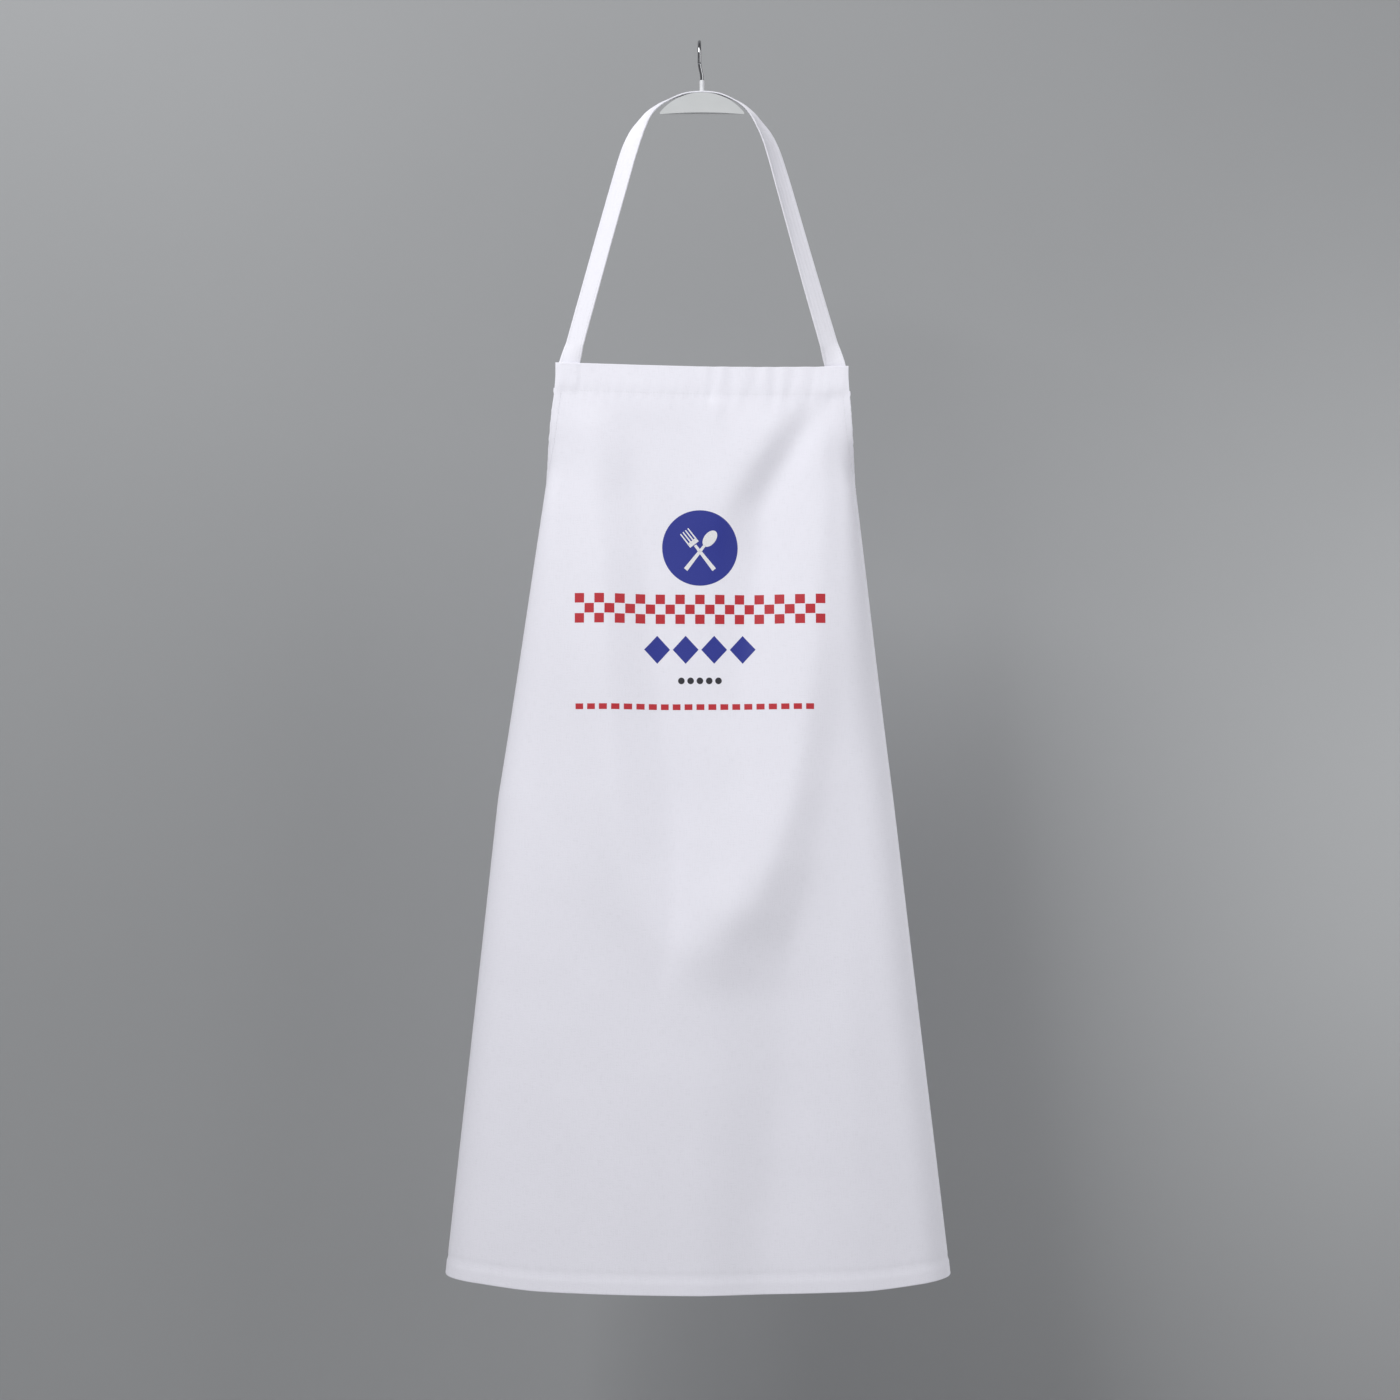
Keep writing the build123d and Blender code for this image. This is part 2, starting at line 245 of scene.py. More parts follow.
hanging = hanging_table()
facing = normals_of(hanging)
folds = soft_folds() * smooth((abs(facing[..., 1]) - 0.35) / 0.4)
hanging = hanging + facing * (folds + small_relief(S_AXIS[None, :], V_AXIS[:, None]))[..., None]
hanging_normals = normals_of(hanging)


def look_up(table, s, v):
    """Bilinear value of a table at points (s, v) of the flat cloth."""
    column = np.clip((np.asarray(s) - S_AXIS[0]) / (S_AXIS[1] - S_AXIS[0]), 0, len(S_AXIS) - 1.001)
    row = np.clip((np.asarray(v) - V_AXIS[0]) / (V_AXIS[1] - V_AXIS[0]), 0, len(V_AXIS) - 1.001)
    i, j = row.astype(int), column.astype(int)
    a, b = (row - i)[..., None], (column - j)[..., None]
    top = table[i, j] * (1 - b) + table[i, j + 1] * b
    low = table[i + 1, j] * (1 - b) + table[i + 1, j + 1] * b
    return top * (1 - a) + low * a


def on_cloth(s, v, offset):
    """Points in millimetres at (s, v) on the cloth, offset to its front."""
    s, v, offset = np.broadcast_arrays(s, v, offset)
    return look_up(hanging, s, v) + look_up(hanging_normals, s, v) * offset[..., None]


# ---- mesh helpers --------------------------------------------------------------------
def new_mesh(name, points, faces, uvs=None, material=None):
    """A mesh object from points in millimetres; uvs are per vertex, in metres."""
    mesh = bpy.data.meshes.new(name)
    mesh.from_pydata([tuple(p) for p in np.asarray(points, float) * MM], [], faces)
    if uvs is not None:
        layer = mesh.uv_layers.new(name="thread")
        corners = np.zeros(len(mesh.loops), int)
        mesh.loops.foreach_get("vertex_index", corners)
        layer.data.foreach_set("uv", (np.asarray(uvs, float)[corners] * MM).ravel())
    mesh.validate()
    shape = bmesh.new()
    shape.from_mesh(mesh)
    bmesh.ops.recalc_face_normals(shape, faces=shape.faces)
    shape.to_mesh(mesh)
    shape.free()
    mesh.polygons.foreach_set("use_smooth", [True] * len(mesh.polygons))
    mesh.set_sharp_from_angle(angle=radians(50))
    piece = bpy.data.objects.new(name, mesh)
    bpy.context.scene.collection.objects.link(piece)
    if material is not None:
        mesh.materials.append(material)
    return piece


def grid_faces(rows, columns, start=0, close_columns=False, flip=False):
    """Quads of a rows by columns grid of vertices."""
    faces = []
    for i in range(rows - 1):
        for j in range(columns if close_columns else columns - 1):
            k = (j + 1) % columns
            quad = (
                start + i * columns + j,
                start + i * columns + k,
                start + (i + 1) * columns + k,
                start + (i + 1) * columns + j,
            )
            faces.append(quad[::-1] if flip else quad)
    return faces


def rim_of(rows, columns):
    """Indices round the border of a rows by columns grid."""
    rim = list(range(columns)) + [i * columns + columns - 1 for i in range(1, rows)]
    rim += [(rows - 1) * columns + j for j in range(columns - 2, -1, -1)]
    return rim + [i * columns for i in range(rows - 2, 0, -1)]


def swept(name, rings, uvs, material):
    """A closed skin through rings of points, with both ends capped."""
    rings = np.asarray(rings, float)
    rows, columns = rings.shape[:2]
    faces = grid_faces(rows, columns, close_columns=True)
    faces.append(tuple(range(columns))[::-1])
    faces.append(tuple((rows - 1) * columns + j for j in range(columns)))
    piece = new_mesh(name, rings.reshape(-1, 3), faces, np.asarray(uvs).reshape(-1, 2), material)
    for face in list(piece.data.polygons)[-2:]:
        face.use_smooth = False
    return piece


# ---- materials -----------------------------------------------------------------------
def node_tree(name):
    material = bpy.data.materials.new(name)
    material.use_nodes = True
    tree = material.node_tree
    return material, tree, tree.nodes["Principled BSDF"]


def add(tree, kind, **settings):
    """A node with its named inputs set, and joined where a value is a socket."""
    node = tree.nodes.new(kind)
    for key, value in settings.items():
        if key.startswith("p_"):
            setattr(node, key[2:], value)
            continue
        socket = node.inputs[int(key[1:])] if key[0] == "i" and key[1:].isdigit() else None
        socket = socket or node.inputs[key.replace("_", " ")]
        if isinstance(value, bpy.types.NodeSocket):
            tree.links.new(value, socket)
        else:
            socket.default_value = value
    return node


def scaled(tree, coordinates, scale):
    return add(tree, "ShaderNodeMapping", Vector=coordinates, Scale=scale).outputs[0]


def ramp(tree, value, stops):
    node = add(tree, "ShaderNodeValToRGB", Fac=value)
    elements = node.color_ramp.elements
    while len(elements) < len(stops):
        elements.new(0.5)
    for element, (at, colour) in zip(elements, stops):
        element.position = at
        element.color = (*colour, 1)
    return node.outputs[0]


def noise(tree, place, scale, detail):
    return add(tree, "ShaderNodeTexNoise", Vector=place, Scale=scale, Detail=detail).outputs["Fac"]


def bumped(tree, shader, height, strength, depth):
    bump = add(tree, "ShaderNodeBump", Strength=strength, Distance=depth, Height=height)
    tree.links.new(bump.outputs[0], shader.inputs["Normal"])


def roughened(tree, shader, value, low, high):
    """Roughness from low to high where value goes from 0.3 to 0.7."""
    span = {"From_Min": 0.3, "From_Max": 0.7, "To_Min": low, "To_Max": high}
    rough = add(tree, "ShaderNodeMapRange", Value=value, **span)
    tree.links.new(rough.outputs[0], shader.inputs["Roughness"])


def cloth_material(name, colour, thread_mm, depth_mm, twill=False, slub=1.0):
    """Woven cotton: crossing threads, uneven slubs, faint tone changes and soft sheen."""
    material, tree, shader = node_tree(name)
    uv = add(tree, "ShaderNodeUVMap", p_uv_map="thread").outputs[0]
    turns = 2 * pi / (thread_mm * MM)
    split = add(tree, "ShaderNodeSeparateXYZ", Vector=uv)

    def wave(value, shift):
        scaled_value = add(tree, "ShaderNodeMath", p_operation="MULTIPLY", i0=value, i1=turns / 2)
        moved = add(tree, "ShaderNodeMath", p_operation="ADD", i0=scaled_value.outputs[0], i1=shift)
        return add(tree, "ShaderNodeMath", p_operation="SINE", i0=moved.outputs[0]).outputs[0]

    if twill:
        slant = add(
            tree, "ShaderNodeMath", p_operation="ADD", i0=split.outputs[0], i1=split.outputs[1]
        )
        first, second = wave(slant.outputs[0], 0.0), wave(split.outputs[1], 0.5)
    else:
        first, second = wave(split.outputs[0], 0.0), wave(split.outputs[1], 0.0)
    weave = add(tree, "ShaderNodeMath", p_operation="MULTIPLY", i0=first, i1=second).outputs[0]
    warp = noise(tree, scaled(tree, uv, (1500, 90, 1)), 1.0, 2.0)
    weft = noise(tree, scaled(tree, uv, (120, 1500, 1)), 1.0, 2.0)
    slubs = add(tree, "ShaderNodeMath", p_operation="ADD", i0=warp, i1=weft).outputs[0]
    fuzz = noise(tree, uv, 2600.0, 3.0)
    part_1 = add(tree, "ShaderNodeMath", p_operation="MULTIPLY", i0=slubs, i1=0.9 * slub)
    part_2 = add(
        tree, "ShaderNodeMath", p_operation="MULTIPLY_ADD", i0=weave, i1=0.5, i2=part_1.outputs[0]
    )
    height = add(
        tree, "ShaderNodeMath", p_operation="MULTIPLY_ADD", i0=fuzz, i1=0.35, i2=part_2.outputs[0]
    ).outputs[0]
    bumped(tree, shader, height, 0.6, depth_mm * MM)
    cloud = noise(tree, uv, 14.0, 4.0)
    light = tuple(min(c * 1.006, 1.0) for c in colour)
    dark = tuple(c * 0.985 for c in colour)
    tone = ramp(tree, cloud, [(0.3, dark), (0.7, light)])
    thread_tone = ramp(tree, slubs, [(0.7, (0.955, 0.955, 0.955)), (1.2, (1, 1, 1))])
    mixed = add(tree, "ShaderNodeMix", p_data_type="RGBA", p_blend_type="MULTIPLY")
    mixed.inputs[0].default_value = 1.0
    tree.links.new(tone, mixed.inputs[6])
    tree.links.new(thread_tone, mixed.inputs[7])
    tree.links.new(mixed.outputs[2], shader.inputs["Base Color"])
    roughened(tree, shader, fuzz, 0.82, 0.96)
    shader.inputs["Sheen Weight"].default_value = 0.18
    shader.inputs["Sheen Roughness"].default_value = 0.4
    shader.inputs["Specular IOR Level"].default_value = 0.25
    return material


def thread_material():
    material, tree, shader = node_tree("sewing_thread")
    place = add(tree, "ShaderNodeTexCoord").outputs["Object"]
    twist = add(
        tree, "ShaderNodeTexWave", Vector=place, Scale=1400.0, Distortion=2.0, Detail=1.0
    ).outputs["Fac"]
    tone = ramp(tree, twist, [(0.0, (0.70, 0.70, 0.75)), (1.0, (0.84, 0.84, 0.88))])
    tree.links.new(tone, shader.inputs["Base Color"])
    bumped(tree, shader, twist, 0.5, 0.0001)
    shader.inputs["Roughness"].default_value = 0.6
    shader.inputs["Sheen Weight"].default_value = 0.2
    return material


def print_material(name, colour):
    """Transfer film: satin ink with a fine grain of tone and polish."""
    material, tree, shader = node_tree(name)
    uv = add(tree, "ShaderNodeUVMap", p_uv_map="thread").outputs[0]
    grain = noise(tree, uv, 1500.0, 3.0)
    dark = tuple(c * 0.86 for c in colour)
    light = tuple(min(c * 1.08 + 0.005, 1.0) for c in colour)
    tree.links.new(ramp(tree, grain, [(0.35, dark), (0.65, light)]), shader.inputs["Base Color"])
    bumped(tree, shader, grain, 0.4, 0.00008)
    roughened(tree, shader, grain, 0.45, 0.62)
    return material


def metal_material(name, colour, low, high, scratch_scale):
    """Plated wire or steel with fine drawn lines and small changes of polish."""
    material, tree, shader = node_tree(name)
    place = add(tree, "ShaderNodeTexCoord").outputs["Object"]
    stretch = (scratch_scale, scratch_scale, scratch_scale / 12)
    drawn = noise(tree, scaled(tree, place, stretch), 1.0, 3.0)
    smudge = noise(tree, place, 160.0, 2.0)
    tone = ramp(tree, smudge, [(0.3, tuple(c * 0.93 for c in colour)), (0.7, colour)])
    tree.links.new(tone, shader.inputs["Base Color"])
    roughened(tree, shader, smudge, low, high)
    bumped(tree, shader, drawn, 0.25, 0.00003)
    shader.inputs["Metallic"].default_value = 1.0
    return material


def plastic_material(name, colour):
    """Moulded plastic: fine spark-eroded grain and a faint flow of tone."""
    material, tree, shader = node_tree(name)
    place = add(tree, "ShaderNodeTexCoord").outputs["Object"]
    grain = noise(tree, place, 3200.0, 3.0)
    flow = noise(tree, scaled(tree, place, (40, 60, 90)), 1.0, 3.0)
    tone = ramp(tree, flow, [(0.3, tuple(c * 0.95 for c in colour)), (0.7, colour)])
    tree.links.new(tone, shader.inputs["Base Color"])
    bumped(tree, shader, grain, 0.3, 0.00005)
    roughened(tree, shader, grain, 0.38, 0.52)
    return material


WHITE = (0.83, 0.825, 0.895)
cotton = cloth_material("cotton_twill", WHITE, 0.7, 0.16)
hem_cotton = cloth_material("cotton_hem", WHITE, 0.7, 0.16, slub=0.8)
tape_cotton = cloth_material("cotton_tape", (0.84, 0.835, 0.90), 0.8, 0.2, twill=True)
thread = thread_material()
inks = {
    "red": print_material("ink_red", (0.50, 0.018, 0.03)),
    "blue": print_material("ink_blue", (0.018, 0.03, 0.27)),
    "dark": print_material("ink_dark", (0.022, 0.022, 0.03)),
    "white": print_material("ink_white", (0.78, 0.78, 0.80)),
}
chrome = metal_material("chrome_wire", (0.34, 0.345, 0.355), 0.08, 0.18, 900)
steel = metal_material("washer_steel", (0.55, 0.55, 0.56), 0.3, 0.42, 700)
hanger_plastic = plastic_material("hanger_plastic", (0.54, 0.555, 0.56))
sleeve_plastic = plastic_material("sleeve_plastic", (0.66, 0.67, 0.69))

for node, material in (
    ("hook", chrome),
    ("hook_sleeve", sleeve_plastic),
    ("hanger_body", hanger_plastic),
    ("retaining_washer", steel),
):
    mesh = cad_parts[node].data
    mesh.materials.clear()
    mesh.materials.append(material)


# ---- camera, light and stage ----------------------------------------------------------
scene = bpy.context.scene
camera_data = bpy.data.cameras.new("camera")
camera = bpy.data.objects.new("camera", camera_data)
scene.collection.objects.link(camera)
CAMERA_DISTANCE = 2.7
VIEW_WIDTH = 1.351
camera_data.sensor_width = 36
camera_data.lens = 36 * CAMERA_DISTANCE / VIEW_WIDTH
camera.location = (0.0006, -CAMERA_DISTANCE, -0.633)
camera.rotation_euler = (radians(90), 0, 0)
scene.camera = camera
scene.view_settings.view_transform = "Standard"


def stage_material(name, colour, one_sided):
    material, tree, shader = node_tree(name)
    place = add(tree, "ShaderNodeTexCoord").outputs["Object"]
    cloud = noise(tree, place, 1.3, 4.0)
    tone = ramp(tree, cloud, [(0.3, tuple(c * 0.95 for c in colour)), (0.7, colour)])
    tree.links.new(tone, shader.inputs["Base Color"])
    shader.inputs["Roughness"].default_value = 0.9
    if one_sided:
        back = add(tree, "ShaderNodeNewGeometry").outputs["Backfacing"]
        clear = add(tree, "ShaderNodeBsdfTransparent").outputs[0]
        mix = add(tree, "ShaderNodeMixShader", Fac=back, i1=shader.outputs[0], i2=clear)
        tree.links.new(mix.outputs[0], tree.nodes["Material Output"].inputs["Surface"])
    return material


def plane(name, corners, material):
    mesh = bpy.data.meshes.new(name)
    mesh.from_pydata(corners, [], [(0, 1, 2, 3)])
    mesh.materials.append(material)
    flat = bpy.data.objects.new(name, mesh)
    scene.collection.objects.link(flat)
    flat.visible_shadow = False
    flat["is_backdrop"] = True


WALL_Y = 0.34
FLOOR_Z = -1.62
plane(
    "wall",
    [(-6, WALL_Y, FLOOR_Z), (6, WALL_Y, FLOOR_Z), (6, WALL_Y, 5), (-6, WALL_Y, 5)],
    stage_material("wall_paint", (0.315, 0.322, 0.33), True),
)
plane(
    "floor",
    [(-6, -7, FLOOR_Z), (6, -7, FLOOR_Z), (6, WALL_Y, FLOOR_Z), (-6, WALL_Y, FLOOR_Z)],
    stage_material("pale_floor", (0.6, 0.6, 0.6), False),
)


def area_light(name, place, target, size, power, spread=180):
    data = bpy.data.lights.new(name, "AREA")
    data.shape = "RECTANGLE"
    data.size, data.size_y = size
    data.energy = power
    data.spread = radians(spread)
    lamp = bpy.data.objects.new(name, data)
    lamp.location = place
    lamp.rotation_euler = (Vector(target) - Vector(place)).to_track_quat("-Z", "Y").to_euler()
    scene.collection.objects.link(lamp)


area_light("key", (-1.35, -1.6, 1.4), (0, 0, -0.5), (1.2, 1.2), 71)
area_light("fill", (2.0, -1.6, 0.6), (0, 0, -0.6), (1.6, 1.6), 20)
area_light("wall_glow", (1.3, -0.35, -0.7), (0.68, WALL_Y, -0.74), (0.4, 0.7), 1.7, 100)
area_light("back", (1.3, 2.2, 0.5), (0, 0.1, -0.7), (1.6, 1.6), 22)
world = bpy.data.worlds.new("studio")
world.use_nodes = True
world.node_tree.nodes["Background"].inputs["Color"].default_value = (0.96, 0.96, 1.0, 1)
world.node_tree.nodes["Background"].inputs["Strength"].default_value = 0.22
scene.world = world


# ---- apron cloth -----------------------------------------------------------------------
def panel_mesh():
    """The cloth, front and back skins and its raw edges, as one closed mesh."""
    columns, rows = 161, 221
    share = np.linspace(-1, 1, columns)[None, :]
    v = np.linspace(0.2, LENGTH - 0.2, rows)[:, None]
    s = share * (cloth_edge(v) - 0.2)
    v = np.broadcast_to(v, s.shape)
    front = on_cloth(s, v, CLOTH_HALF_T).reshape(-1, 3)
    back = on_cloth(s, v, -CLOTH_HALF_T).reshape(-1, 3)
    count = rows * columns
    faces = grid_faces(rows, columns, flip=True) + grid_faces(rows, columns, start=count)
    rim = rim_of(rows, columns)
    for a, b in zip(rim, rim[1:] + rim[:1]):
        faces.append((a, b, b + count, a + count))
    uv = np.stack([s, v], axis=2).reshape(-1, 2)
    return new_mesh("apron_cloth", np.concatenate([front, back]), faces, np.tile(uv, (2, 1)), cotton)


HEM_PROFILE = [  # share of the hem's width in from the edge, extra millimetres in, offset
    (1, 0, HEM_BACK),
    (1, 0.1, HEM_BACK - HEM_T / 2),
    (1, 0, HEM_BACK - HEM_T),
    (0.66, 0, HEM_BACK - HEM_T - 0.05),
    (0.33, 0, HEM_BACK - HEM_T - 0.1),
    (0, 1.2, HEM_BACK - HEM_T - 0.12),
    (0, 0.2, HEM_BACK - HEM_T - 0.02),
    (0, -0.5, HEM_BACK - HEM_T / 2),
    (0, -0.7, HEM_BACK),
    (0, -0.5, CLOTH_HALF_T * 0.6),
    (0, 0.2, CLOTH_HALF_T + 0.1),
    (0, 1.2, CLOTH_HALF_T + 0.02),
    (0, 1.2, CLOTH_HALF_T - 0.2),
    (0, 0.4, 0),
    (0, 0.4, HEM_BACK),
]


def hem_mesh(name, along, width, place):
    """A folded hem swept along an edge; place(t, q) gives (s, v) at q in from the edge."""
    rings, uvs = [], []
    for t in along:
        q = np.array([share * width + extra for share, extra, _ in HEM_PROFILE])
        offset = np.array([row[2] for row in HEM_PROFILE])
        s, v = place(t, q)
        s, v = np.broadcast_arrays(np.asarray(s, float), np.asarray(v, float))
        rings.append(on_cloth(s, v, offset))
        uvs.append(np.stack([s, v + offset * 2], axis=1))
    return swept(name, rings, uvs, hem_cotton)


apron_cloth = panel_mesh()
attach(apron_cloth, "apron")
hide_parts("apron_panel")

hems = [
    hem_mesh(
        "top_hem_fold",
        np.linspace(-BIB_HALF - 0.4, BIB_HALF + 0.4, 141),
        TOP_HEM,
        lambda t, q: (t, q),
    ),
    hem_mesh(
        "bottom_hem_fold",
        np.linspace(-HALF_WIDTH, HALF_WIDTH, 241),
        BOTTOM_HEM,
        lambda t, q: (t, LENGTH - q),
    ),
]
hem_nodes = ["top_hem", "bottom_hem"]
for side, word in ((-1, "left"), (1, "right")):
    hems.append(
        hem_mesh(
            f"{word}_armhole_fold",
            np.linspace(TOP_HEM - 4, WAIST_V - 0.5, 91),
            ARMHOLE_HEM,
            lambda t, q: (side * (cloth_edge(t) - q), t),
        )
    )
    hems.append(
        hem_mesh(
            f"{word}_side_fold",
            np.linspace(WAIST_V + 0.5, LENGTH - 1, 141),
            SIDE_HEM,
            lambda t, q: (side * (HALF_WIDTH - q), t),
        )
    )
    hem_nodes += [f"{word}_armhole_hem", f"{word}_side_hem"]
for hem, node in zip(hems, hem_nodes):
    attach(hem, "apron")
    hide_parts(node)


# ---- stitches ---------------------------------------------------------------------------
def stitch_points(centre, along, normal, length=2.4, radius=0.19):
    """One stitch: a short thread that dips into the cloth at both ends."""
    side = np.cross(along, normal)
    points = []
    for share, lift, fat in ((-0.5, -0.25, 0.5), (-0.32, 0.1, 1), (0.32, 0.1, 1), (0.5, -0.25, 0.5)):
        middle = centre + along * (share * length) + normal * (lift * radius)
        for k in range(6):
            turn = k * pi / 3
            points.append(middle + (side * cos(turn) + normal * sin(turn)) * radius * fat)
    return points


def stitch_mesh(name, stitches, body):
    """All the stitches of one piece, as (centre, along, normal) and for a bar its half length."""
    points, faces = [], []
    for centre, along, normal, *length in stitches:
        start = len(points)
        points += stitch_points(centre, along, normal, *(2 * part for part in length))
        faces += grid_faces(4, 6, start=start, close_columns=True, flip=True)
        faces.append(tuple(start + k for k in range(6)))
        faces.append(tuple(start + 18 + k for k in range(6))[::-1])
    piece = new_mesh(name, points, faces, material=thread)
    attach(piece, body)
    return piece


def cloth_stitches(s, v, front=True):
    """Stitches along a line of the cloth, evenly spaced, on its front or behind its hem."""
    offset = CLOTH_HALF_T + 0.05 if front else HEM_BACK - HEM_T - 0.05
    line = on_cloth(np.asarray(s, float), np.asarray(v, float), offset)
    normals = look_up(hanging_normals, s, v) * (1 if front else -1)
    steps = np.linalg.norm(np.diff(line, axis=0), axis=1)
    run = np.concatenate([[0], np.cumsum(steps)])
    made = []
    for at in np.arange(STITCH_PITCH / 2, run[-1], STITCH_PITCH):
        centre = np.array([np.interp(at, run, line[:, k]) for k in range(3)])
        ahead = np.array([np.interp(at + 0.5, run, line[:, k]) for k in range(3)])
        normal = np.array([np.interp(at, run, normals[:, k]) for k in range(3)])
        along = ahead - centre
        size = np.linalg.norm(along)
        if size < 1e-6:
            continue
        made.append((centre, along / size, normal / np.linalg.norm(normal)))
    return made


seams = []
for front in (True, False):
    across = np.linspace(-BIB_HALF + 1, BIB_HALF - 1, 200)
    seams += cloth_stitches(across, np.full(200, TOP_HEM - 2.0), front)
    across = np.linspace(-HALF_WIDTH + 2, HALF_WIDTH - 2, 400)
    seams += cloth_stitches(across, np.full(400, LENGTH - BOTTOM_HEM + 2.0), front)
    for side in (-1, 1):
        down = np.linspace(TOP_HEM, WAIST_V, 200)
        seams += cloth_stitches(side * (cloth_edge(down) - ARMHOLE_HEM + 2), down, front)
        down = np.linspace(WAIST_V, LENGTH - BOTTOM_HEM, 200)
        seams += cloth_stitches(np.full(200, side * (HALF_WIDTH - SIDE_HEM + 2)), down, front)
stitch_mesh("hem_stitching", seams, "apron")


# ---- neck strap -----------------------------------------------------------------------
# Half path on each side, from the top of the hanger to the bib, as (out, height).
STRAP_LINE = {
    -1: [(0, -47.7), (16, -49.4), (28.5, -54.4), (41, -61.6), (52, -70.2), (60, -81), (66, -93.5),
         (71.5, -109), (78.5, -133), (95.5, -192), (112, -250), (128.7, -310.5)],
    1: [(0, -47.7), (16, -49.4), (28.8, -55), (40, -62), (49.5, -70.8), (57.5, -81), (64, -93),
        (69.5, -108), (77, -133), (94, -192), (111, -250), (128.7, -310.5)],
}

# Turn of the tape from flat on the hanger towards flat to the front, degrees.
TWIST_SHARE = (0, 0.04, 0.1, 0.15, 0.2, 0.25, 0.3, 0.4, 0.6, 0.93, 1)
TWIST = {
    -1: (0, 7, 11, 16, 28, 44, 53, 56, 57, 60, 90),
    1: (0, 7, 11, 14, 22, 34, 42, 48, 53, 62, 90),
}
BEND_CLEAR = 5.0  # no stitches this close to the line where the tape bends
STITCH_IN = 2.3
TAPE_PROFILE = [  # share of the half-width across, share of the thickness up
    (-1, 0.3), (-0.985, 0.48), (-0.95, 0.56), (-0.82, 0.5), (-0.74, 0.44), (-0.5, 0.5), (0, 0.52),
    (0.5, 0.5), (0.74, 0.44), (0.82, 0.5), (0.95, 0.56), (0.985, 0.48), (1, 0.3),
]


def catmull(points, steps):
    """Smooth curve through points, with steps samples on each span."""
    points = np.asarray(points, float)
    ends = np.concatenate([[2 * points[0] - points[1]], points, [2 * points[-1] - points[-2]]])
    made = []
    for a, b, c, d in zip(ends, ends[1:], ends[2:], ends[3:]):
        for t in np.linspace(0, 1, steps, endpoint=False):
            made.append(
                0.5 * (2 * b + (c - a) * t + (2 * a - 5 * b + 4 * c - d) * t**2
                       + (3 * b - a - 3 * c + d) * t**3)
            )
    made.append(points[-1])
    return np.array(made)


def resampled(line, pitch):
    """Points at an even pitch along a line, and the length of the line."""
    run = np.concatenate([[0], np.cumsum(np.linalg.norm(np.diff(line, axis=0), axis=1))])
    at = np.linspace(0, run[-1], int(run[-1] / pitch) + 1)
    return np.stack([np.interp(at, run, line[:, k]) for k in range(line.shape[1])], axis=1), run[-1]


def softened(line, turns):
    """The line with its small kinks eased; its ends stay."""
    line = line.copy()
    for _ in range(turns):
        line[1:-1] = line[1:-1] * 0.5 + (line[:-2] + line[2:]) * 0.25
    return line


def tape_ring(centre, width, normal, half_width, thickness, cup):
    """Cross-section of a folded tape: flat, thicker at its two folded edges, a little cupped."""
    ring = []
    for face, profile in ((1, TAPE_PROFILE), (-1, TAPE_PROFILE[::-1])):
        for across, up in profile:
            lift = cup * across * across
            rise = normal * (face * up * thickness + lift)
            ring.append(centre + width * (across * half_width) + rise)
    return ring


def tape_uvs(run):
    """Thread coordinates of one ring of a tape, run millimetres from its start."""
    across = np.linspace(-STRAP_W / 2, STRAP_W / 2, len(TAPE_PROFILE))
    return [(a, run) for a in across] + [(a, run) for a in across[::-1]]


def strap_stations():
    """Centre, width direction, normal and share of the run, from the strap's left end on."""
    halves = {}
    for side in (-1, 1):
        line = softened(resampled(catmull(STRAP_LINE[side], 12), 2.0)[0], 12)
        line = resampled(line, 2.0)[0]
        ahead = np.gradient(line, axis=0)
        ahead /= np.linalg.norm(ahead, axis=1, keepdims=True)
        made = []
        for i, (at, along) in enumerate(zip(line, ahead)):
            share = i / (len(line) - 1)
            turn = radians(float(np.interp(share, TWIST_SHARE, TWIST[side])))
            out = np.array([side * -along[1], 0, along[0]])
            width = np.array([0, -1, 0]) * cos(turn) - out * sin(turn)
            forward = np.array([side * along[0], 0, along[1]])
            normal = np.cross(forward, width) * side
            y = STRAP_Y * float(smooth(share * 1.2))
            lift = STRAP_W / 2 * sin(turn) * float(smooth((0.22 - share) / 0.1))
            centre = np.array([HANGER_X + side * at[0], y, at[1]]) + out * lift
            made.append((centre, width, normal, share))
        end = made[-1]
        for k in range(1, int(STRAP_END_L / 2) + 1):
            lean = radians(15.6) * max(0.0, 1 - k / 4)
            step = np.array([side * sin(lean), 0, -cos(lean)]) * 2.0
            end = (end[0] + step, end[1], end[2], 1.0)
            made.append(end)
        halves[side] = made
    return halves[-1][::-1] + halves[1][1:]


stations = strap_stations()
rings, uvs = [], []
run = 0.0
for i, (centre, width, normal, share) in enumerate(stations):
    if i:
        run += float(np.linalg.norm(centre - stations[i - 1][0]))
    cup = -0.9 * sin(pi * min(share * 1.3, 1.0)) if share < 1 else 0.0
    rings.append(tape_ring(centre, width, normal, STRAP_W / 2, TAPE_T, cup))
    uvs.append(tape_uvs(run))
neck_strap = swept("neck_strap_tape", rings, uvs, tape_cotton)

strap_seams = {"strap": [], "apron": []}
for edge in (-1, 1):
    for face in (1, -1):
        aside, above = edge * (STRAP_W / 2 - STITCH_IN), face * (TAPE_T * 0.47)
        line = np.array([c + w * aside + n * above for c, w, n, _ in stations])
        lengths = np.concatenate([[0], np.cumsum(np.linalg.norm(np.diff(line, axis=0), axis=1))])
        for at in np.arange(2, lengths[-1] - 2, STITCH_PITCH):
            i = int(np.searchsorted(lengths, at))
            share = (at - lengths[i - 1]) / (lengths[i] - lengths[i - 1])
            along = line[i] - line[i - 1]
            centre = line[i - 1] + along * share
            if abs(centre[2] - BIB_Z) < BEND_CLEAR:
                continue
            body = "strap" if centre[2] > BIB_Z else "apron"
            strap_seams[body].append((centre, along / np.linalg.norm(along), stations[i][2] * face))
stitch_mesh("strap_edge_stitching", strap_seams["strap"], "strap")
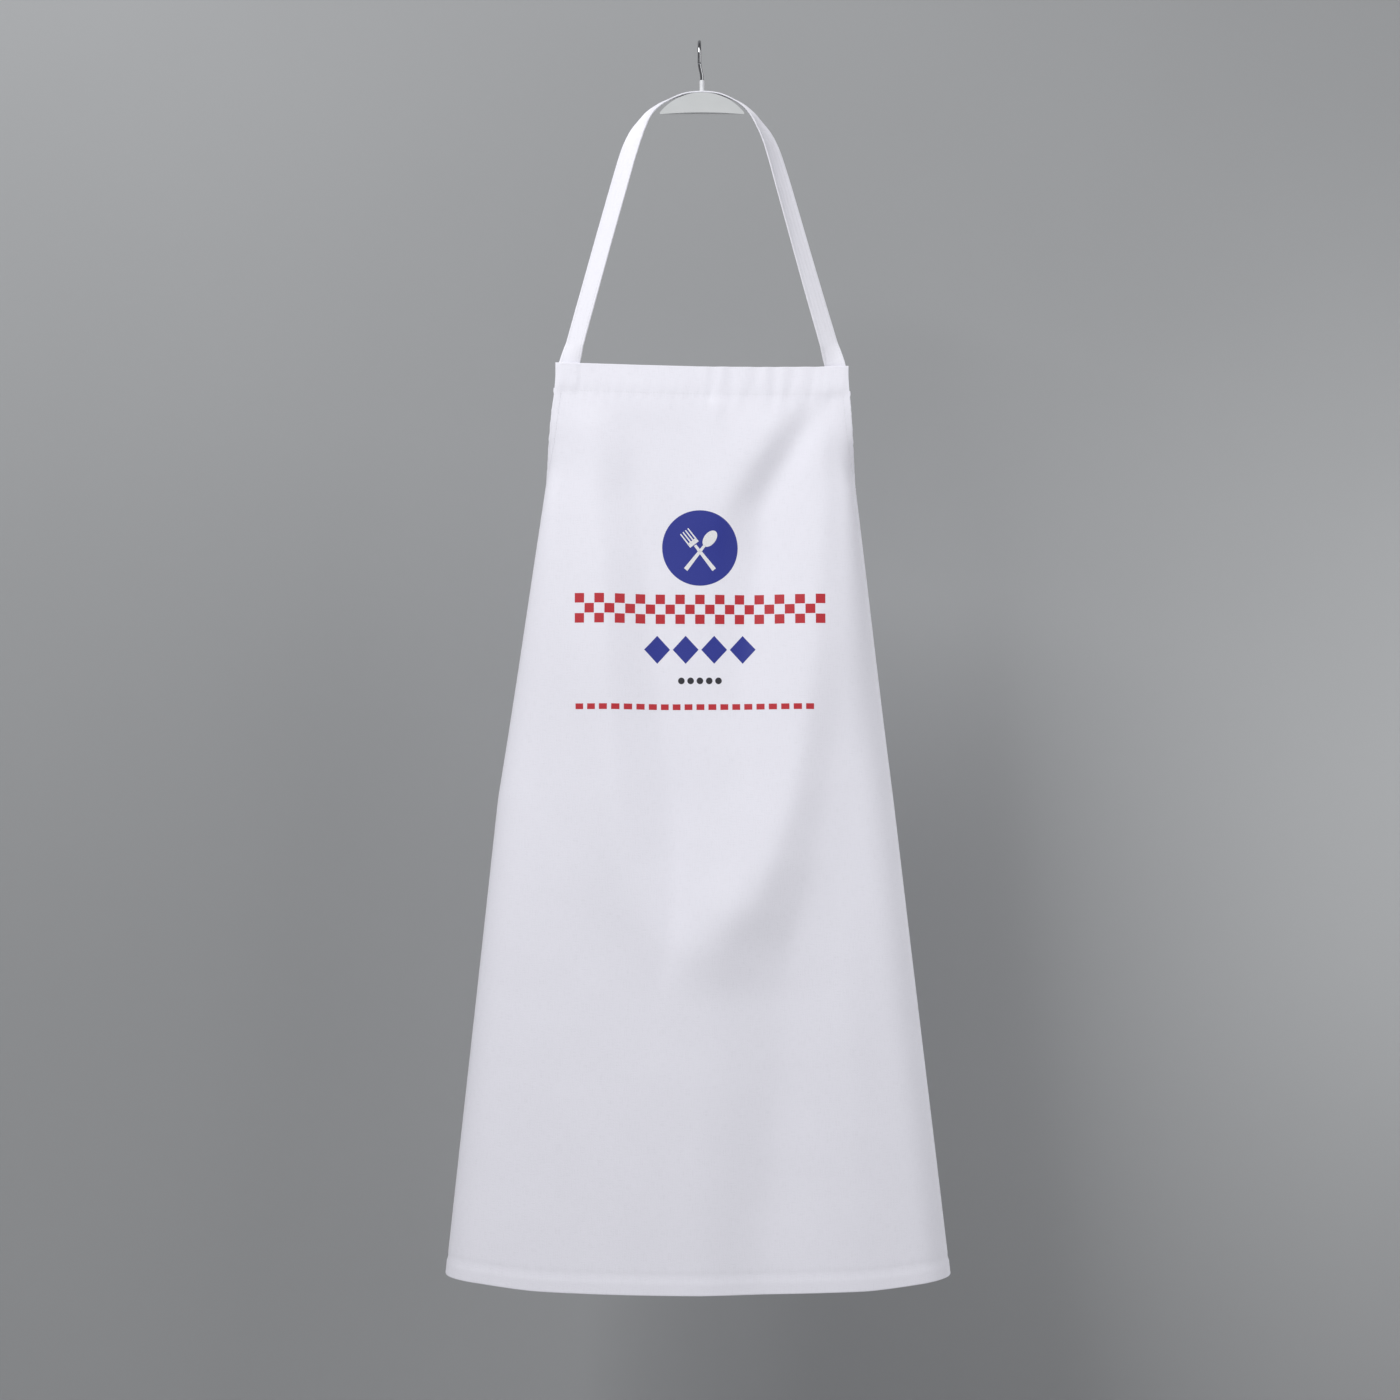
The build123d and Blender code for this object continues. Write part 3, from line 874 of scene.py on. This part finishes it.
stitch_mesh("strap_end_stitching", strap_seams["apron"], "apron")
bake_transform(neck_strap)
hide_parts("neck_strap", "left_strap_end", "right_strap_end")


# ---- bartacks across the strap's ends, behind the hem ----------------------------------
BARTACK_OUT = 129.6
for side, word in ((-1, "left"), (1, "right")):
    bars = []
    for down in (6, 19):
        for across in np.arange(-8.3, 8.4, 0.55):
            centre = np.array(
                [HANGER_X + side * BARTACK_OUT + across, STRAP_Y + TAPE_T / 2 + 0.05, BIB_Z - down]
            )
            bars.append((centre, np.array([0.0, 0.0, 1.0]), np.array([0.0, 1.0, 0.0]), 1.0))
    tacks = stitch_mesh(f"{word}_bartack_threads", bars, "apron")
    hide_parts(f"{word}_strap_bartacks")


# ---- waist ties ----------------------------------------------------------------------------
TIE_OFFSET = HEM_BACK - HEM_T - 0.2 - TAPE_T / 2
FOLD_R = 0.8


def tie_rings(side):
    """Rings of one waist tie: sewn flat on the hem, folded down at the corner, then hanging."""
    box = tie_boxes["left" if side < 0 else "right"]
    box_low, box_high = (np.array(corner) / MM for corner in box)
    outer, inner = (box_low[0], box_high[0]) if side < 0 else (box_high[0], box_low[0])
    depth = (box_low[1] + box_high[1]) / 2
    top = box_high[2]
    rings = []
    for s in np.linspace(285.5, 309, 7):
        high = on_cloth(side * s, WAIST_V + 0.2, TIE_OFFSET)
        low = on_cloth(side * s, WAIST_V + STRAP_W - 0.2, TIE_OFFSET)
        rings.append((high, low, -look_up(hanging_normals, side * s, WAIST_V + 10)))
    back = np.array([0.0, -1.0, 0.0])
    fold_high = np.array([outer, depth + FOLD_R, top - 0.2])
    fold_low = np.array([inner, depth + FOLD_R, top - STRAP_W + 0.2])
    last = rings[-1]
    for share in (0.35, 0.7):
        rings.append(tuple(a + (b - a) * share for a, b in zip(last, (fold_high, fold_low, back))))
    out = np.array([-side, 0, 1]) / sqrt(2)
    for turn in np.linspace(0, pi, 7):
        radial = np.array([0, cos(turn), 0]) + out * sin(turn)
        shift = (radial - [0, 1, 0]) * FOLD_R
        rings.append((fold_high + shift, fold_low + shift, -radial))
    for run in np.concatenate([[22, 26], np.linspace(32, TIE_L - 0.6, 56)]):
        level = top - run
        sway = 2.2 * sin(run / 95.0) * min(run / 150, 1) * (1 if side < 0 else -1)
        twist = radians(16) * sin(run / 140.0 + side) * min(run / 200, 1)
        middle = np.array([(outer + inner) / 2 + 0.6 * sway, depth - FOLD_R - sway, level])
        half = np.array([cos(twist), sin(twist), 0]) * (inner - outer) / 2
        rings.append((middle - half, middle + half, np.array([-sin(twist), cos(twist), 0])))
    return rings


for side, word in ((-1, "left"), (1, "right")):
    rings, uvs, run, before = [], [], 0.0, None
    for high, low, normal in tie_rings(side):
        centre, half = (high + low) / 2, (low - high) / 2
        size = np.linalg.norm(half)
        run += 0 if before is None else float(np.linalg.norm(centre - before))
        before = centre
        facing_out = normal / np.linalg.norm(normal)
        rings.append(tape_ring(centre, half / size, facing_out, size, TAPE_T, 0.0))
        uvs.append(tape_uvs(run))
    tie = swept(f"{word}_tie_tape", rings, uvs, tape_cotton)
    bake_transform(tie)
    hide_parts(f"{word}_waist_tie", f"{word}_tie_end")
    square = [(288, 302.5), (307, 302.5), (307, 317.5), (288, 317.5), (288, 302.5)]
    seam = []
    for a, b in zip(square, square[1:]):
        line_s = side * np.linspace(a[0], b[0], 12)
        line_v = np.linspace(a[1], b[1], 12)
        seam += cloth_stitches(line_s, line_v, True)
        seam += [(c + n * (TAPE_T + 0.1), t, n) for c, t, n in cloth_stitches(line_s, line_v, False)]
    stitch_mesh(f"{word}_tie_stitching", seam, "apron")


# ---- chest print ---------------------------------------------------------------------------
PRINT_T = 0.1
PRINT_MID = -2.0
BADGE_V, BADGE_R = 176, 36.5
CHECKS_V, CHECK_SIZE, CHECK_GAP = 221, 9.6, 0.25
DIAMONDS_V = 274.5
DOTS_V, DOT_R = 304.5, 3.2
DASHES_V = 327


def film_patch(outline_rows, offset=0.0, round_patch=False):
    """Vertices and faces of a thin film over the cloth; each row is a line or ring of (s, v)."""
    rows, columns = len(outline_rows), len(outline_rows[0])
    flat = np.array(outline_rows, float).reshape(-1, 2)
    top = on_cloth(flat[:, 0], flat[:, 1], CLOTH_HALF_T + PRINT_T + offset)
    low = on_cloth(flat[:, 0], flat[:, 1], CLOTH_HALF_T - 0.05)
    count = rows * columns
    faces = grid_faces(rows, columns, close_columns=round_patch)
    faces += grid_faces(rows, columns, start=count, close_columns=round_patch)
    if round_patch:
        faces += [tuple(range(columns)), tuple(range(count, count + columns))]
        ring = [(rows - 1) * columns + j for j in range(columns)]
        faces += [(a, b, b + count, a + count) for a, b in zip(ring, ring[1:] + ring[:1])]
        return np.concatenate([top, low]), faces, np.tile(flat, (2, 1))
    rim = rim_of(rows, columns)
    faces += [(b, a, a + count, b + count) for a, b in zip(rim, rim[1:] + rim[:1])]
    return np.concatenate([top, low]), faces, np.tile(flat, (2, 1))


def quad_rows(a, b, c, d, pitch=4.0):
    """Rows of points over the quadrilateral a, b, c, d, in order round it."""
    a, b, c, d = (np.array(p, float) for p in (a, b, c, d))
    down = max(1, int(np.ceil(max(np.linalg.norm(d - a), np.linalg.norm(c - b)) / pitch)))
    wide = max(1, int(np.ceil(max(np.linalg.norm(b - a), np.linalg.norm(c - d)) / pitch)))
    rows = []
    for i in range(down + 1):
        left, right = a + (d - a) * i / down, b + (c - b) * i / down
        rows.append([left + (right - left) * j / wide for j in range(wide + 1)])
    return rows


def oval_rows(s, v, half_s, half_v, turn=0.0, steps=28, rings=6):
    """Rings of points over an ellipse, from its middle out."""
    rows = []
    for k in range(rings):
        size = (k + 1) / rings
        row = []
        for j in range(steps):
            at = 2 * pi * j / steps
            x, y = half_s * size * cos(at), half_v * size * sin(at)
            row.append((s + x * cos(turn) - y * sin(turn), v + x * sin(turn) + y * cos(turn)))
        rows.append(row)
    return rows


def bar_rows(start, end, half_start, half_end):
    """Rows over a tapering bar from start to end."""
    start, end = np.array(start, float), np.array(end, float)
    along = (end - start) / np.linalg.norm(end - start)
    side = np.array([-along[1], along[0]])
    near, far = side * half_start, side * half_end
    return quad_rows(start - near, start + near, end + far, end - far, 3.0)


def cutlery(place, turn, kind):
    """Patches of a plain fork or spoon, its middle at place and its handle turned by turn."""

    def at(x, y):
        return (place[0] + x * cos(turn) - y * sin(turn), place[1] + x * sin(turn) + y * cos(turn))

    patches = [bar_rows(at(0, 24), at(0, -6), 2.1, 1.3)]
    if kind == "spoon":
        patches.append(oval_rows(*at(0, -14), 5.6, 9.0, turn))
    else:
        patches.append(bar_rows(at(-5.2, -9), at(5.2, -9), 2.2, 2.2))
        for x in (-4.5, -1.5, 1.5, 4.5):
            patches.append(bar_rows(at(x, -9), at(x, -23), 0.75, 0.6))
    return patches


def film_mesh(name, patches, ink, offset=0.0):
    points, faces, uvs = [], [], []
    for rows in patches:
        around = np.linalg.norm(np.subtract(rows[-1][0], rows[-1][-1]))
        beside = np.linalg.norm(np.subtract(rows[-1][0], rows[-1][1]))
        some, quads, flat = film_patch(rows, offset, len(rows[0]) > 12 and around < 1.5 * beside)
        start = sum(len(p) for p in points)
        points.append(some)
        uvs.append(flat)
        faces += [tuple(start + k for k in quad) for quad in quads]
    film = new_mesh(name, np.concatenate(points), faces, np.concatenate(uvs), inks[ink])
    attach(film, "apron")
    return film


disc = oval_rows(PRINT_MID, BADGE_V, BADGE_R, BADGE_R, steps=72, rings=9)
badge = film_mesh("print_badge", [disc], "blue")
film_mesh(
    "print_cutlery",
    cutlery((PRINT_MID - 1, BADGE_V + 2), radians(-38), "fork")
    + cutlery((PRINT_MID + 1, BADGE_V + 2), radians(38), "spoon"),
    "white",
    0.05,
)


def block_rows(left, top, right, low):
    return quad_rows((left, top), (right, top), (right, low), (left, low))


checks = []
for row in range(3):
    for column in range(25):
        if (row + column) % 2 == 0:
            left = PRINT_MID - 12.5 * CHECK_SIZE + column * CHECK_SIZE
            top = CHECKS_V + row * CHECK_SIZE
            right, low = left + CHECK_SIZE - CHECK_GAP, top + CHECK_SIZE - CHECK_GAP
            checks.append(block_rows(left + CHECK_GAP, top + CHECK_GAP, right, low))
dashes = [
    block_rows(left, DASHES_V, left + 7.6, DASHES_V + 5.5)
    for left in np.arange(PRINT_MID - 119, PRINT_MID + 112, 11.57)
]
film_mesh("print_checks", checks + dashes, "red")
diamonds = [
    quad_rows(
        (middle, DIAMONDS_V - 13.5),
        (middle + 12.5, DIAMONDS_V),
        (middle, DIAMONDS_V + 13.5),
        (middle - 12.5, DIAMONDS_V),
    )
    for middle in PRINT_MID + np.array([-41.5, -13.8, 13.8, 41.5])
]
film_mesh("print_diamonds", diamonds, "blue")
film_mesh(
    "print_dots",
    [oval_rows(PRINT_MID + x, DOTS_V, DOT_R, DOT_R, steps=20, rings=3) for x in (-18, -9, 0, 9, 18)],
    "dark",
)
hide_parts("chest_print")


low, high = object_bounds()
